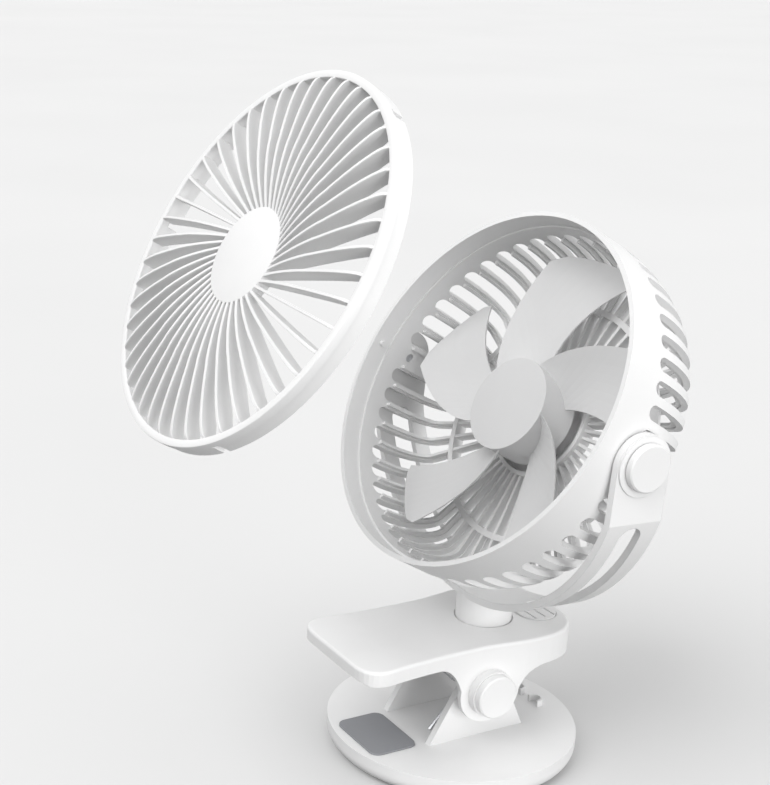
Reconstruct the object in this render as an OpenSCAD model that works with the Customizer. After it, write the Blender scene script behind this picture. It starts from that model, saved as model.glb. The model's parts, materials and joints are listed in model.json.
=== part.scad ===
// Clip fan: a swivelling, tilting round fan head in a yoke, on a spring clip
// whose lower jaw is also a round table stand. The fan's grille is shown lifted off.
// Frame: origin at the centre of the upper jaw's flat gripping face.
// +X runs to the jaw tip, which is also the way the fan blows. +Z is up.

/* [Places] */
// Distance of the swivel axis behind the grip centre
swivel_back = 54.7; // [50:0.1:60]
// Distance of the tilt axis behind the swivel axis
pivot_offset = 5.3; // [0:0.1:6]
// Gap between the base's top face and the yoke's bow
neck_rise = 10.5; // [8.5:0.5:25]
// Tilt of the head above level, in degrees, as it stands
head_tilt = 30.5; // [0:0.5:60]
// Distance of the clip hinge behind the grip centre
hinge_back = 40.6; // [38:0.1:44]
// Depth of the clip hinge below the grip face
hinge_drop = 13.8; // [13:0.1:16]
// Opening between the upper grip face and the stand's top face
jaw_gap = 38.9; // [36:0.1:44]
// Distance of the stand's centre behind the grip centre
stand_back = 41; // [39:0.1:43]
// Distance that the grille is lifted off along the fan's axis
grille_lift = 124; // [60:1:140]

/* [Head housing] */
// Outer radius of the housing
head_r = 78; // [77.6:0.1:78.4]
// Wall of the front band
rim_wall = 2; // [1.6:0.1:2.4]
// Distance of the front rim ahead of the tilt axis
rim_front = 21.8; // [20:0.1:22.4]
// Depth of the seat for the grille, below the rim
seat_depth = 8.9; // [8.7:0.1:11]
// Width of the seat for the grille
seat_w = 0.9; // [0.6:0.1:1.2]
// Depth of the straight side wall, rim to shoulder
side_depth = 20; // [18:0.5:22]
// Radial size of the rounded shoulder
shoulder_r = 14; // [12:0.5:16]
// Depth of the whole housing
head_depth = 48.2; // [46:0.1:50]
// Thickness of the shoulder and the rear web
shell_t = 2.8; // [2.4:0.1:3.2]
// Number of slot places round the housing, two of them left blank
slot_places = 50; // [50:4:58]
// Width of a side slot
slot_w = 6; // [5:0.1:6.4]
// Depth at which the side slots begin
slot_start = 16.5; // [14.5:0.1:18]
// Width of a slot at its inner end, by the hoop
slot_inner_w = 4.6; // [4:0.1:5]
// Distance of the middle hoop inside the rear face's edge
hoop_in = 13; // [10:0.5:16]
// Width of the middle hoop
hoop_w = 2.6; // [2:0.1:3.2]
// Thickness of the blade ribs
rib_t = 1.3; // [1:0.1:1.7]
// Depth of the rear blade ribs, front to back
rib_deep = 5.4; // [4:0.1:6]
// Inner radius of the motor mount ring
mount_ring_r = 22.5; // [21.5:0.1:23.5]
// Wall of the motor mount ring
mount_ring_w = 1.8; // [1.4:0.1:2.2]
// Height of the motor mount ring above the rear face
mount_ring_h = 7.2; // [6:0.1:8]
// Thickness of the rear bulkhead that carries the motor
bulkhead_t = 2.4; // [2:0.1:2.8]
// Radius of the bayonet pins that hold the grille
bayonet_r = 1.3; // [1:0.1:1.5]
// Depth of the bayonet pins below the rim
bayonet_depth = 4.6; // [4.4:0.1:5]
// How far the bayonet pins stand in from the wall
bayonet_len = 1.8; // [1.4:0.1:2]

/* [Front grille] */
// Gap between the grille's ring and the housing's rim
grille_gap = 0.4; // [0.3:0.1:1]
// Width of the grille's ring
grille_ring_w = 3.1; // [2.6:0.1:3.6]
// Depth of the grille's ring
grille_ring_h = 8.6; // [8:0.1:8.6]
// Thickness of the flange at the front of the ring
grille_flange_t = 3.5; // [2.6:0.1:3.6]
// Wall of the skirt behind the flange
grille_skirt_t = 1.6; // [1.2:0.1:2]
// Number of grille ribs
grille_ribs = 46; // [40:1:48]
// Thickness of a grille rib
grille_rib_t = 1.2; // [1:0.1:1.3]
// Radius of the circle that all the ribs touch, which sets their swirl
swirl_r = 8.2; // [7:0.1:9]
// Radius of the grille's centre disc
grille_disc_r = 19.4; // [18.5:0.1:21]
// Height of the dome of rib edges above the rim
dome_h = 2.95; // [2:0.05:3.4]
// Depth of the flat back of the ribs below the ring's face
rib_back = 6.5; // [6:0.1:7]

/* [Impeller and motor] */
// Number of blades
blades = 5; // [3:1:7]
// Radius of the impeller's hub
hub_r = 20.3; // [20:0.1:21]
// Distance of the hub's front face ahead of the tilt axis
hub_front = 1.7; // [1:0.1:2.5]
// Length of the hub
hub_len = 18.2; // [16:0.1:18.8]
// Wall of the hub
hub_wall = 2; // [1.6:0.1:2.2]
// Distance of the blade tips inside the rim
blade_gap = 6; // [4:0.5:10]
// Front edge of the blades, ahead of the tilt axis
blade_front = 0.4; // [0:0.1:0.8]
// Back edge of the blades, behind the tilt axis
blade_back = 9.4; // [8.6:0.1:10]
// Hollow of the blades' front face
blade_camber = 1.6; // [0.8:0.1:2.4]
// Thickness of the blades at the hub
blade_t = 1.7; // [1.4:0.1:2]
// Outer radius of the motor
motor_r = 15; // [14:0.1:15.6]
// Length of the motor
motor_len = 19.6; // [18:0.1:19.8]
// Wall of the motor's can
motor_wall = 1; // [0.8:0.1:1.2]
// Radius of the motor's shaft
shaft_r = 1.5; // [1.3:0.05:1.7]

/* [Yoke] */
// Gap between the housing's side and the yoke's arms
arm_gap = 0.35; // [0.3:0.05:0.6]
// Thickness of the yoke's strap
strap_t = 3; // [2.8:0.1:3.2]
// Width of the yoke's strap
strap_w = 25; // [24:0.1:26]
// Gap between the housing's side and the strap's bow
bow_gap = 3.5; // [3.4:0.1:4.2]
// Width of the slot in each arm
arm_slot_w = 10.4; // [9:0.1:11.5]
// Angle of the arm slot's lower end from straight down
arm_slot_low = 25; // [20:1:35]
// Angle of the arm slot's upper end from straight down
arm_slot_high = 73; // [68:1:73]
// Radius of the raised collar round each pivot
collar_r = 12.1; // [11.5:0.1:12.3]
// Height of that collar
collar_h = 0.7; // [0.5:0.1:0.9]
// Radius of the pivot's trunnion
trunnion_r = 5; // [4.5:0.1:5.5]
// Radius of the pivot caps
pivot_cap_r = 9.5; // [9:0.1:10]
// Thickness of the pivot caps
pivot_cap_t = 2.85; // [2.5:0.05:3.6]
// Radius of the neck
neck_r = 12; // [11:0.1:13]

/* [Base] */
// Height of the base's top face above the grip face
plate_h = 7.4; // [7:0.1:8]
// Reach of the jaw tip ahead of the grip centre
tip_reach = 21.4; // [20:0.1:24]
// Length of the jaw tip's rounded corners
tip_corner = 11.4; // [9:0.1:12]
// Width of the jaw tip's rounded corners
tip_corner_hw = 13.9; // [11:0.1:15]
// Distance of the rear's widest place behind the swivel axis
rear_wide_back = 8.3; // [7:0.1:10]
// Half width of the jaw near its tip
tip_hw = 27.9; // [27:0.1:29]
// Half width of the waist between jaw and rear
waist_hw = 25.7; // [25.4:0.1:26.2]
// Half width of the rear
rear_hw = 28.4; // [27.5:0.1:30]
// Length of the rounded rear end
rear_len = 26.5; // [25:0.1:28]
// Depth of the rear's underside below the grip face
rear_drop = 5.1; // [4.8:0.1:5.4]
// Wall of the base's shells
base_wall = 2.2; // [1.8:0.1:2.4]
// Radius of the top edge's rounding
edge_round = 1.3; // [0.8:0.1:1.6]
// Radius of the hinge ears
ear_r = 14.1; // [13.5:0.1:14.3]
// Radius of the bosses on the hinge ears
ear_boss_r = 10.2; // [9.8:0.1:10.6]
// Outer face of those bosses from the centre plane
ear_boss_y = 29.2; // [28.6:0.1:30]
// Radius of the hinge caps
hinge_cap_r = 9.4; // [9:0.1:9.7]
// Outer face of the hinge caps from the centre plane
hinge_cap_y = 32.8; // [32.2:0.1:33.6]
// Radius of the hinge pin
pin_r = 2.5; // [2.2:0.1:2.8]

/* [Power button] */
// Distance of the button behind the swivel axis
button_back = 22.8; // [22.6:0.1:23.4]
// Half length of the button, side to side
button_hl = 15.4; // [14:0.1:16]
// Half width of the button, which is also the radius of its ends
button_r = 8.6; // [8:0.1:8.8]
// How far the button stands above the base
button_proud = 0.5; // [0.3:0.1:0.8]
// Travel of the button
button_travel = 0.8; // [0.6:0.1:0.9]

/* [Stand and clip] */
// Radius of the round stand
stand_r = 53.8; // [52:0.1:56]
// Height of the round stand
stand_h = 10.2; // [9.6:0.1:11]
// Wall of the round stand
stand_wall = 2; // [1.8:0.1:2.4]
// Radius of the stand's lower edge
stand_round = 6; // [5:0.1:6.6]
// Outer faces of the stand's brackets from the centre plane
bracket_y = 17.8; // [17:0.1:19]
// Thickness of the brackets
bracket_t = 3; // [2.6:0.1:3.4]
// Radius of the brackets' hinge eyes
eye_r = 7; // [6.4:0.1:7.6]
// Wire of the clip's spring
wire_d = 1.6; // [1.4:0.1:1.8]
// Mean radius of the spring's coil
coil_r = 4.8; // [4.6:0.1:5.2]
// Number of curls in the spring
curls = 6; // [4:1:8]
// Pitch of the curls
curl_pitch = 2.4; // [2.3:0.1:2.8]
// Thickness of the grip pads
pad_t = 1.2; // [1:0.1:1.4]
// How far the grip pads stand out of their recesses
pad_proud = 0.8; // [0.6:0.1:0.9]

/* [Hidden] */

shell_white = [0.93, 0.93, 0.93];
inner_white = [0.86, 0.86, 0.87];
rubber_grey = [0.55, 0.56, 0.58];
steel_grey = [0.7, 0.71, 0.73];

fine = 96;
mid = 48;
small = 32;

// Clearances and overruns
over = 1;
slot_over = 5;
free_gap = 0.3;
seat_gap = 0.05;
run_gap = 0.06;
tip_clear = 0.7;
hair = 0.02;

// Main places
bow_r = head_r + bow_gap;
bow_out = bow_r + strap_t;
pivot_rise = bow_out + neck_rise;
swivel_x = -swivel_back;
pivot_x = swivel_x - pivot_offset;
pivot_z = plate_h + pivot_rise;
hinge_x = -hinge_back;
hinge_z = -hinge_drop;
stand_x = -stand_back;
stand_top = -jaw_gap;
stand_bottom = stand_top - stand_h;
strap_lean = atan(pivot_offset / pivot_rise);

// Head housing, in the fan's own frame: +Z forward along its axis, tilt axis at Z 0
rim_r = head_r - rim_wall;
wall_r = rim_r - seat_w;
seat_z = rim_front - seat_depth;
shoulder_z = rim_front - side_depth;
rear_z = rim_front - head_depth;
shoulder_len = shoulder_z - rear_z;
flat_r = head_r - shoulder_r;
hoop_r = flat_r - hoop_in;
blade_r = rim_r - blade_gap;
grille_r = rim_r - grille_gap;
slot_pitch = 360 / slot_places;
slot_front = rim_front - slot_start;
web_front = rear_z + rib_deep;
hoop_out = hoop_r + hoop_w;
arc_steps = 12;
hoop_rise = 0.4;
trunnion_hole_r = 1.1;

// Yoke, pivot stack along Y
arm_in = head_r + arm_gap;
arm_out = arm_in + strap_t;
collar_y = arm_out + collar_h;
washer_t = 0.8;
washer_r = 8.6;
washer_y = collar_y - washer_t + hair;
cap_in = collar_y + free_gap;
pivot_cap_y = cap_in + pivot_cap_t;
trunnion_y = arm_out - hair;
cap_lip = 0.6;

// Shares of the sizes that these places follow, and the small sizes of inner pieces
waist_share = 0.33;
step_share = 1.2;
front_run_share = 0.84;
front_bend_share = 0.3;
rear_run_share = 1.1;
rear_bend_share = 0.2;
blade_mid_share = 0.643;
blade_front_share = 0.16;
tip_front_share = 0.985;
tip_slant_share = 0.03;
tip_corner_share = 0.04;
rib_root_share = 0.97;
root_thin_share = 0.5;
tip_thin_share = 0.3;
back_slant_share = 0.12;
back_curl_share = 0.31;
rear_screw_share = 0.62;
jaw_screw_share = 0.35;
pole_reach_share = 0.8;
pole_in_share = 0.78;
pole_wide_share = 0.58;
web_wide_share = 0.125;
core_share = 0.33;
cover_screw_share = 0.55;
motor_seat_w = 1.4;
motor_seat_h = 6;
motor_screw_r = 8;
screw_sink = 1.2;
bush_r = 3.4;
bush_len = 2.4;
end_cap_t = 3;
armature_r = 11.6;
armature_len = 10;
armature_gap = 0.8;
core_len = motor_len - bush_len - end_cap_t - 2 * armature_gap;
hub_boss_r = 4.5;
hub_boss_len = 2.6;
dome_peak_share = 0.569;
dome_out_share = 1.217;
dome_in_share = 1.786;
grille_phase = 91.3;
skirt_in = 0.3;
disc_rise = 1;
disc_drop = 0.4;
disc_wall = 1.6;
bayonet_slack = 0.4;
bayonets = 3;
swivel_screw_len = 9;
cap_screw_deep = 2.4;
shell_screw_len = 7;
jaw_screw_len = 3.4;
cover_screw_len = 6.4;
head_sink = 0.9;
flat_head_h = 0.8;
usb_sink = 0.5;
pin_end = 2;
spring_reach = 15.5;

// Base
tip_x = tip_reach;
tip_c = tip_x - tip_corner;
tip_flat_hw = tip_hw - tip_corner_hw;
rear_c = swivel_x - rear_wide_back;
rear_end = rear_c - rear_len;
waist_x = hinge_x + ear_r * waist_share;
jaw_under = pad_proud;
rear_under = -rear_drop;
inner_top = plate_h - base_wall;
fit_in = base_wall + seat_gap;
floor_t = 1.6;
step_x = hinge_x + ear_r * step_share;
step_run = 3.5;
nose_run = 3.6;
nose_rise = 1.4;
rear_round = 5;
edge_steps = 4;
ear_y = waist_hw;
ear_in = waist_hw - base_wall;
front_meet = [hinge_x, hinge_z] + ear_r * [cos(10), sin(10)];
rear_meet = [hinge_x, hinge_z] + ear_r * [cos(185), sin(185)];
boss_r = 2.4;
pilot_r = 0.9;
screw_r = 1;
screw_head_r = 1.9;
screw_head_h = 1.1;
// Places of the four shell screws, side to side from the centre plane
shell_screw_y = 19.8;
shell_screw_xs = [rear_c - rear_len * rear_screw_share, step_x - floor_t - free_gap - boss_r];
jaw_screw_x = tip_c - tip_corner * jaw_screw_share;

// Button, board, battery and socket
button_x = swivel_x - button_back;
button_len = button_hl - button_r;
button_t = 2;
groove_w = 0.8;
groove_deep = 0.6;
groove_pitch = 4.75;
groove_hl = 13.4;
tab_w = 6;
tab_out = 1.2;
tab_t = 1;
board_t = 1.2;
board_top = -1;
board_hw = 14;
board_front = button_x + button_r;
board_inset = 2.4;
board_rear = rear_end + base_wall + board_inset;
post_r = 1.5;
post_len = board_top - board_t - seat_gap - rear_under - floor_t / 2;
switch_w = 6;
switch_h = 3.1;
plunger_r = 1.6;
plunger_h = 0.9;
stem_r = 3;
stem_low = board_top + switch_h + plunger_h + free_gap + button_travel;
usb_w = 8.9;
usb_h = 3.2;
usb_len = 7.3;
usb_wall = 0.4;
usb_tongue_h = 0.7;
battery_len = 40;
battery_hw = 17;
battery_t = 4.2;
battery_ahead = 8.7;
battery_x = swivel_x + battery_ahead;

// Neck and swivel
neck_low = inner_top - free_gap;
swivel_washer_r = 13.1;
swivel_washer_t = 1.2;
swivel_screw_r = 1.5;
swivel_head_r = 3.4;
swivel_head_h = 1.5;
recess_gap = 0.6;
recess_h = 0.9;

// Stand
stand_floor = 1.6;
cover_r = stand_r - stand_round;
gusset_rear = 25.4;
gusset_front = 22.6;
gusset_shoulder = [-20.4, -14.3];
guide_r = 3.6;
guide_t = 1.1;
guide_h = 3;
guide_back = 41.4;
guide_y = 6;
foot_t = 1;
foot_proud = 0.5;
foot_inset = 4;
foot_r = cover_r - foot_inset;
foot_w = 8;
pad_hl = 14;
pad_hw = 17;
pad_corner = 4;
low_pad_front = 8;
low_pad_back = 14;
low_pad_hw = 15.5;
lug_r = 2.6;
cover_screw_r = stand_r * cover_screw_share;

// Shared shapes

module at_fan() {
  translate([pivot_x, 0, pivot_z])
    rotate([0, 90 - head_tilt, 0])
      children();
}

module at_strap() {
  translate([pivot_x, 0, pivot_z])
    rotate([0, -strap_lean, 0])
      children();
}

module along_y(y0, y1) {
  translate([0, y1, 0])
    rotate([90, 0, 0])
      linear_extrude(height = y1 - y0)
        children();
}

module both_sides() {
  children();
  mirror([0, 1, 0])
    children();
}

module ring(r_out, r_in, h) {
  difference() {
    cylinder(r = r_out, h = h, $fn = fine);
    translate([0, 0, -over])
      cylinder(r = r_in, h = h + 2 * over, $fn = fine);
  }
}

function bezier(a, b, c, n) =
  [for (k = [0 : n]) let (t = k / n) (1 - t) * (1 - t) * a + 2 * t * (1 - t) * b + t * t * c];

function super_pt(a, b, angle, power) =
  [a * sign(cos(angle)) * pow(abs(cos(angle)), 2 / power), b * pow(abs(sin(angle)), 2 / power)];

function smooth(t) = t * t * (3 - 2 * t);

// Base outline seen from above, drawn in by inset
function half_plan(inset) = concat(
  [for (k = [0 : 10]) [rear_c, 0] + super_pt(rear_len - inset, rear_hw - inset, 180 - 9 * k, 2.7)],
  [for (k = [1 : 5]) let (t = k / 5)
    [rear_c + (waist_x - rear_c) * t, waist_hw - inset + (rear_hw - waist_hw) * (1 - smooth(t))]],
  [for (k = [1 : 5]) let (t = k / 5)
    [waist_x + (tip_c - waist_x) * t, waist_hw - inset + (tip_hw - waist_hw) * pow(t, 3)]],
  [for (k = [1 : 8])
    [tip_c, tip_flat_hw] + super_pt(tip_corner - inset, tip_corner_hw - inset, 90 - 11.25 * k, 2.6)]);

function plan(inset) =
  let (h = half_plan(inset), n = len(h))
    concat(h, [for (k = [n - 1 : -1 : 1]) [h[k][0], -h[k][1]]]);

module plan_prism(inset, low, high) {
  translate([0, 0, low])
    linear_extrude(height = high - low)
      polygon(plan(inset));
}

// The same outline with its top edge rounded
module plan_rounded(low, high, r) {
  levels = concat([[0, low]],
    [for (k = [0 : edge_steps]) let (a = 90 * k / edge_steps) [r - r * cos(a), high - r + r * sin(a)]]);
  n = len(plan(0));
  m = len(levels);
  points = [for (l = levels) for (p = plan(l[0])) [p[0], p[1], l[1]]];
  walls = [for (j = [0 : m - 2]) for (k = [0 : n - 1]) let (q = (k + 1) % n)
    [j * n + k, (j + 1) * n + k, (j + 1) * n + q, j * n + q]];
  polyhedron(points, concat(walls, [[for (k = [n - 1 : -1 : 0]) k]],
    [[for (k = [0 : n - 1]) (m - 1) * n + k]]));
}

// Base seen from the side: jaw, hinge ears and rear
module side_profile() {
  polygon(concat(
    [[rear_end - over, plate_h + over], [tip_x + over, plate_h + over],
     [tip_x + over, jaw_under + nose_rise], [tip_x, jaw_under + nose_rise],
     [tip_x - nose_run, jaw_under]],
    bezier([front_meet[0] + ear_r * front_run_share, jaw_under],
      [front_meet[0] + ear_r * front_bend_share, jaw_under], front_meet, 8),
    [[hinge_x, hinge_z]],
    bezier(rear_meet, [rear_meet[0] - ear_r * rear_bend_share, rear_under],
      [rear_meet[0] - ear_r * rear_run_share, rear_under], 8),
    bezier([rear_end + rear_round, rear_under], [rear_end, rear_under],
      [rear_end, rear_under + rear_round], 6),
    [[rear_end - over, rear_under + rear_round]]));
  translate([hinge_x, hinge_z])
    circle(r = ear_r, $fn = fine);
}

module pad_shape(front, back, hw) {
  hull()
    for (x = [front - pad_corner, pad_corner - back], y = [hw - pad_corner, pad_corner - hw])
      translate([x, y])
        circle(r = pad_corner, $fn = small);
}

module pan_screw(r, length, head_r, head_h) {
  cylinder(r = r, h = length, $fn = small);
  translate([0, 0, -head_h])
    cylinder(r = head_r, h = head_h + hair, $fn = small);
}

// Head housing

function ellipse_arc(r0, z0, ra, za) =
  [for (k = [0 : arc_steps]) let (a = 90 * k / arc_steps) [r0 + ra * cos(a), z0 - za * sin(a)]];

function reversed(v) = [for (k = [len(v) - 1 : -1 : 0]) v[k]];

module housing_shell() {
  inner_arc = ellipse_arc(flat_r, shoulder_z, wall_r - flat_r, shoulder_len - shell_t);
  rotate_extrude($fn = fine)
    polygon(concat(
      [[rim_r, rim_front], [head_r, rim_front]],
      ellipse_arc(flat_r, shoulder_z, shoulder_r, shoulder_len),
      [[hoop_r + hoop_w / 2, rear_z], [hoop_r + hoop_w / 2, rear_z + shell_t]],
      reversed(inner_arc),
      [[wall_r, seat_z], [rim_r, seat_z]]));
}

module side_slot() {
  translate([flat_r + over, 0, 0])
    rotate([90, 0, 90])
      linear_extrude(height = shoulder_r + over) {
        translate([-slot_w / 2, rear_z - over])
          square([slot_w, slot_front - slot_w / 2 - rear_z + over]);
        translate([0, slot_front - slot_w / 2])
          circle(r = slot_w / 2, $fn = mid);
      }
  translate([0, 0, rear_z - over])
    linear_extrude(height = shell_t + 2 * over)
      polygon([[hoop_out, -slot_inner_w / 2], [flat_r, -slot_w / 2], [flat_r + 2 * over, -slot_w / 2],
        [flat_r + 2 * over, slot_w / 2], [flat_r, slot_w / 2], [hoop_out, slot_inner_w / 2]]);
}

// A thin blade that follows the shoulder and crosses the rear to the motor mount
module blade_rib() {
  outer = ellipse_arc(flat_r, shoulder_z, shoulder_r - shell_t / 2, shoulder_len - shell_t / 2);
  inner = ellipse_arc(flat_r, shoulder_z, rib_run, rib_fall);
  translate([0, rib_t / 2, 0])
    rotate([90, 0, 0])
      linear_extrude(height = rib_t)
        polygon(concat(outer, [[mount_ring_r + mount_ring_w / 2, rear_z + hair],
          [mount_ring_r + mount_ring_w / 2, web_front]], reversed(inner)));
}

// The pins that hold the grille, spread round from the right pivot's side
module each_bayonet() {
  for (k = [0 : bayonets - 1])
    rotate([0, 0, 90 + 360 * k / bayonets])
      children();
}

module head_housing() {
  color(shell_white)
    at_fan()
      difference() {
        union() {
          difference() {
            housing_shell();
            for (k = [0 : slot_places - 1])
              if (k % (slot_places / 2) != 0)
                rotate([0, 0, 90 + k * slot_pitch])
                  side_slot();
          }
          for (k = [0 : slot_places - 1])
            rotate([0, 0, 90 + (k + 0.5) * slot_pitch])
              blade_rib();
          translate([0, 0, rear_z]) {
            ring(hoop_out, hoop_r, rib_deep + hoop_rise);
            ring(mount_ring_r + mount_ring_w, mount_ring_r, mount_ring_h);
            cylinder(r = mount_ring_r + mount_ring_w / 2, h = bulkhead_t, $fn = fine);
            ring(motor_r + motor_seat_w, motor_r + seat_gap, bulkhead_t + motor_seat_h);
          }
          both_sides()
            translate([0, trunnion_y, 0])
              rotate([90, 0, 0])
                cylinder(r = trunnion_r, h = trunnion_y - rim_r, $fn = mid);
          each_bayonet()
            translate([-rim_r - over / 2, 0, rim_front - bayonet_depth])
              rotate([0, 90, 0])
                cylinder(r = bayonet_r, h = bayonet_len + over / 2, $fn = small);
        }
        both_sides() {
          translate([0, trunnion_y + over, 0])
            rotate([90, 0, 0])
              cylinder(r = trunnion_hole_r, h = trunnion_y, $fn = small);
          translate([0, rim_r + screw_sink, 0])
            rotate([90, 0, 0])
              cylinder(r = screw_head_r + seat_gap, h = screw_sink + 2 * over, $fn = small);
        }
        for (k = [0 : 2])
          rotate([0, 0, 120 * k])
            translate([motor_screw_r, 0, rear_z - over])
              cylinder(r = screw_r + seat_gap, h = bulkhead_t + 2 * over, $fn = small);
      }
}

// Motor

motor_z = rear_z + bulkhead_t + hair;
motor_top = motor_z + motor_len;
shaft_z = motor_z + end_cap_t - bush_len + 2 * hair;

module motor_can() {
  color(steel_grey)
    at_fan()
      difference() {
        translate([0, 0, motor_z])
          cylinder(r = motor_r, h = motor_len, $fn = fine);
        translate([0, 0, motor_z - over])
          cylinder(r = motor_r - motor_wall, h = motor_len - motor_wall + over, $fn = fine);
        translate([0, 0, motor_top - 2 * motor_wall])
          cylinder(r = bush_r + hair, h = 3 * motor_wall, $fn = mid);
      }
}

module motor_end_cap() {
  color(inner_white)
    at_fan()
      difference() {
        translate([0, 0, motor_z])
          cylinder(r = motor_r - motor_wall - hair, h = end_cap_t, $fn = fine);
        translate([0, 0, motor_z + end_cap_t - bush_len])
          cylinder(r = bush_r + hair, h = bush_len + over, $fn = mid);
        for (k = [0 : 2])
          rotate([0, 0, 120 * k])
            translate([motor_screw_r, 0, motor_z - over])
              cylinder(r = screw_r + hair, h = end_cap_t + 2 * over, $fn = small);
      }
}

module motor_bushes() {
  color("goldenrod")
    at_fan()
      for (z = [motor_z + end_cap_t - bush_len + hair, motor_top - bush_len])
        translate([0, 0, z])
          ring(bush_r, shaft_r + run_gap, bush_len);
}

module motor_armature() {
  color(steel_grey)
    at_fan()
      translate([0, 0, motor_z + end_cap_t + armature_gap])
        difference() {
          union() {
            cylinder(r = armature_r * core_share, h = core_len, $fn = mid);
            for (k = [0 : 2])
              rotate([0, 0, 120 * k]) {
                translate([0, -armature_r * web_wide_share, armature_gap])
                  cube([armature_r * pole_reach_share, 2 * armature_r * web_wide_share, armature_len]);
                translate([0, 0, armature_gap])
                  intersection() {
                    ring(armature_r, armature_r * pole_in_share, armature_len);
                    translate([0, -armature_r * pole_wide_share, 0])
                      cube([armature_r, 2 * armature_r * pole_wide_share, armature_len]);
                  }
              }
          }
          translate([0, 0, -over])
            cylinder(r = shaft_r + hair, h = motor_len, $fn = mid);
        }
}

module motor_shaft() {
  color(steel_grey)
    at_fan()
      translate([0, 0, shaft_z])
        cylinder(r = shaft_r, h = hub_front - hub_wall - shaft_z - hair, $fn = mid);
}

// Impeller

blade_start = hub_r - hub_wall / 2;
blade_rows = 10;
blade_cols = 8;
// Angles of the blades' edges round the axis, at mid blade and their change towards the tip
front_mid = -33.5;
front_turn = 20.7;
front_curl = 4;
back_mid = 5.2;
back_turn = 11.1;

// Place on the blade, from its root to its tip, scaled to -1 to 1
function blade_s(r) = (r / blade_r - blade_mid_share) / (1 - blade_mid_share);
function front_angle(s) = front_mid + front_turn * s - front_curl * s * s;
function back_angle(s) = back_mid + back_turn * s;
function front_z(s) = blade_front - blade_front_share * blade_back * pow(max(0, s), 2);
function back_z(s) = -blade_back * (1 + back_slant_share * s + back_curl_share * s * s);
function tip_r(t) =
  blade_r * (tip_front_share + tip_slant_share * t - tip_corner_share * pow(2 * t - 1, 6));

function blade_pt(u, t, side) =
  let (
    r = blade_start + (tip_r(t) - blade_start) * u,
    s = blade_s(r),
    angle = front_angle(s) + (back_angle(s) - front_angle(s)) * t,
    belly = 4 * t * (1 - t),
    thick = blade_t * (1 - tip_thin_share * u) * (1 - root_thin_share * (1 - sqrt(belly))),
    z = front_z(s) + (back_z(s) - front_z(s)) * t - blade_camber * belly)
  [-r * cos(angle), r * sin(angle), z + side * thick / 2];

// Depth of the housing ribs' inner arc, and the radial run that lets the blade tips pass
rib_fall = shoulder_len - rib_deep;
rib_run = max([for (k = [0 : blade_cols]) let (p = blade_pt(1, k / blade_cols, -1))
  (norm([p[0], p[1]]) + tip_clear - flat_r) / sqrt(1 - pow((shoulder_z - p[2]) / rib_fall, 2))]);

module blade() {
  n = blade_rows;
  m = blade_cols;
  w = m + 1;
  sheet = (n + 1) * w;
  points = [for (side = [1, -1]) for (i = [0 : n]) for (j = [0 : m])
    blade_pt(i / n, j / m, side)];
  front = [for (i = [0 : n - 1]) for (j = [0 : m - 1]) let (a = i * w + j)
    each [[a, a + w, a + 1], [a + 1, a + w, a + w + 1]]];
  back = [for (f = front) [f[0] + sheet, f[2] + sheet, f[1] + sheet]];
  rows = [for (i = [0 : n - 1]) let (a = i * w, b = i * w + m)
    each [[a, a + sheet, a + w], [a + w, a + sheet, a + w + sheet],
          [b, b + w, b + sheet], [b + w, b + w + sheet, b + sheet]]];
  cols = [for (j = [0 : m - 1]) let (a = j, b = n * w + j)
    each [[a, a + 1, a + sheet], [a + 1, a + 1 + sheet, a + sheet],
          [b, b + sheet, b + 1], [b + 1, b + sheet, b + 1 + sheet]]];
  polyhedron(points, concat(front, back, rows, cols));
}

module impeller() {
  color(inner_white)
    at_fan()
      difference() {
        union() {
          difference() {
            translate([0, 0, hub_front - hub_len])
              cylinder(r = hub_r, h = hub_len, $fn = fine);
            translate([0, 0, hub_front - hub_len - over])
              cylinder(r = hub_r - hub_wall, h = hub_len - hub_wall + over, $fn = fine);
          }
          translate([0, 0, hub_front - hub_wall - hub_boss_len])
            cylinder(r = hub_boss_r, h = hub_boss_len + hub_wall / 2, $fn = mid);
          for (k = [0 : blades - 1])
            rotate([0, 0, -360 * k / blades])
              blade();
        }
        translate([0, 0, hub_front - hub_wall - hub_boss_len - over])
          cylinder(r = shaft_r + hair, h = hub_boss_len + over, $fn = mid);
      }
}

// Front grille, in the fan's own frame with Z 0 at its ring's face

ring_in = grille_r - grille_ring_w;
rib_to = grille_r - skirt_in - grille_skirt_t / 2;
rib_from = grille_disc_r * rib_root_share;
rib_steps = 12;

function along(r) = sqrt(r * r - swirl_r * swirl_r);
dome_peak_r = grille_r * dome_peak_share;
function dome(r) = dome_h - pow(r - dome_peak_r, 2)
  / (2 * grille_r * (r > dome_peak_r ? dome_out_share : dome_in_share));

module grille_rib() {
  stops = [for (k = [0 : rib_steps]) rib_from + (rib_to - rib_from) * k / rib_steps];
  translate([swirl_r + grille_rib_t / 2, 0, 0])
    rotate([90, 0, -90])
      linear_extrude(height = grille_rib_t)
        polygon(concat([for (r = stops) [-along(r), dome(r)]],
          [[-along(rib_to), -rib_back], [-along(rib_from), -rib_back]]));
}

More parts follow.
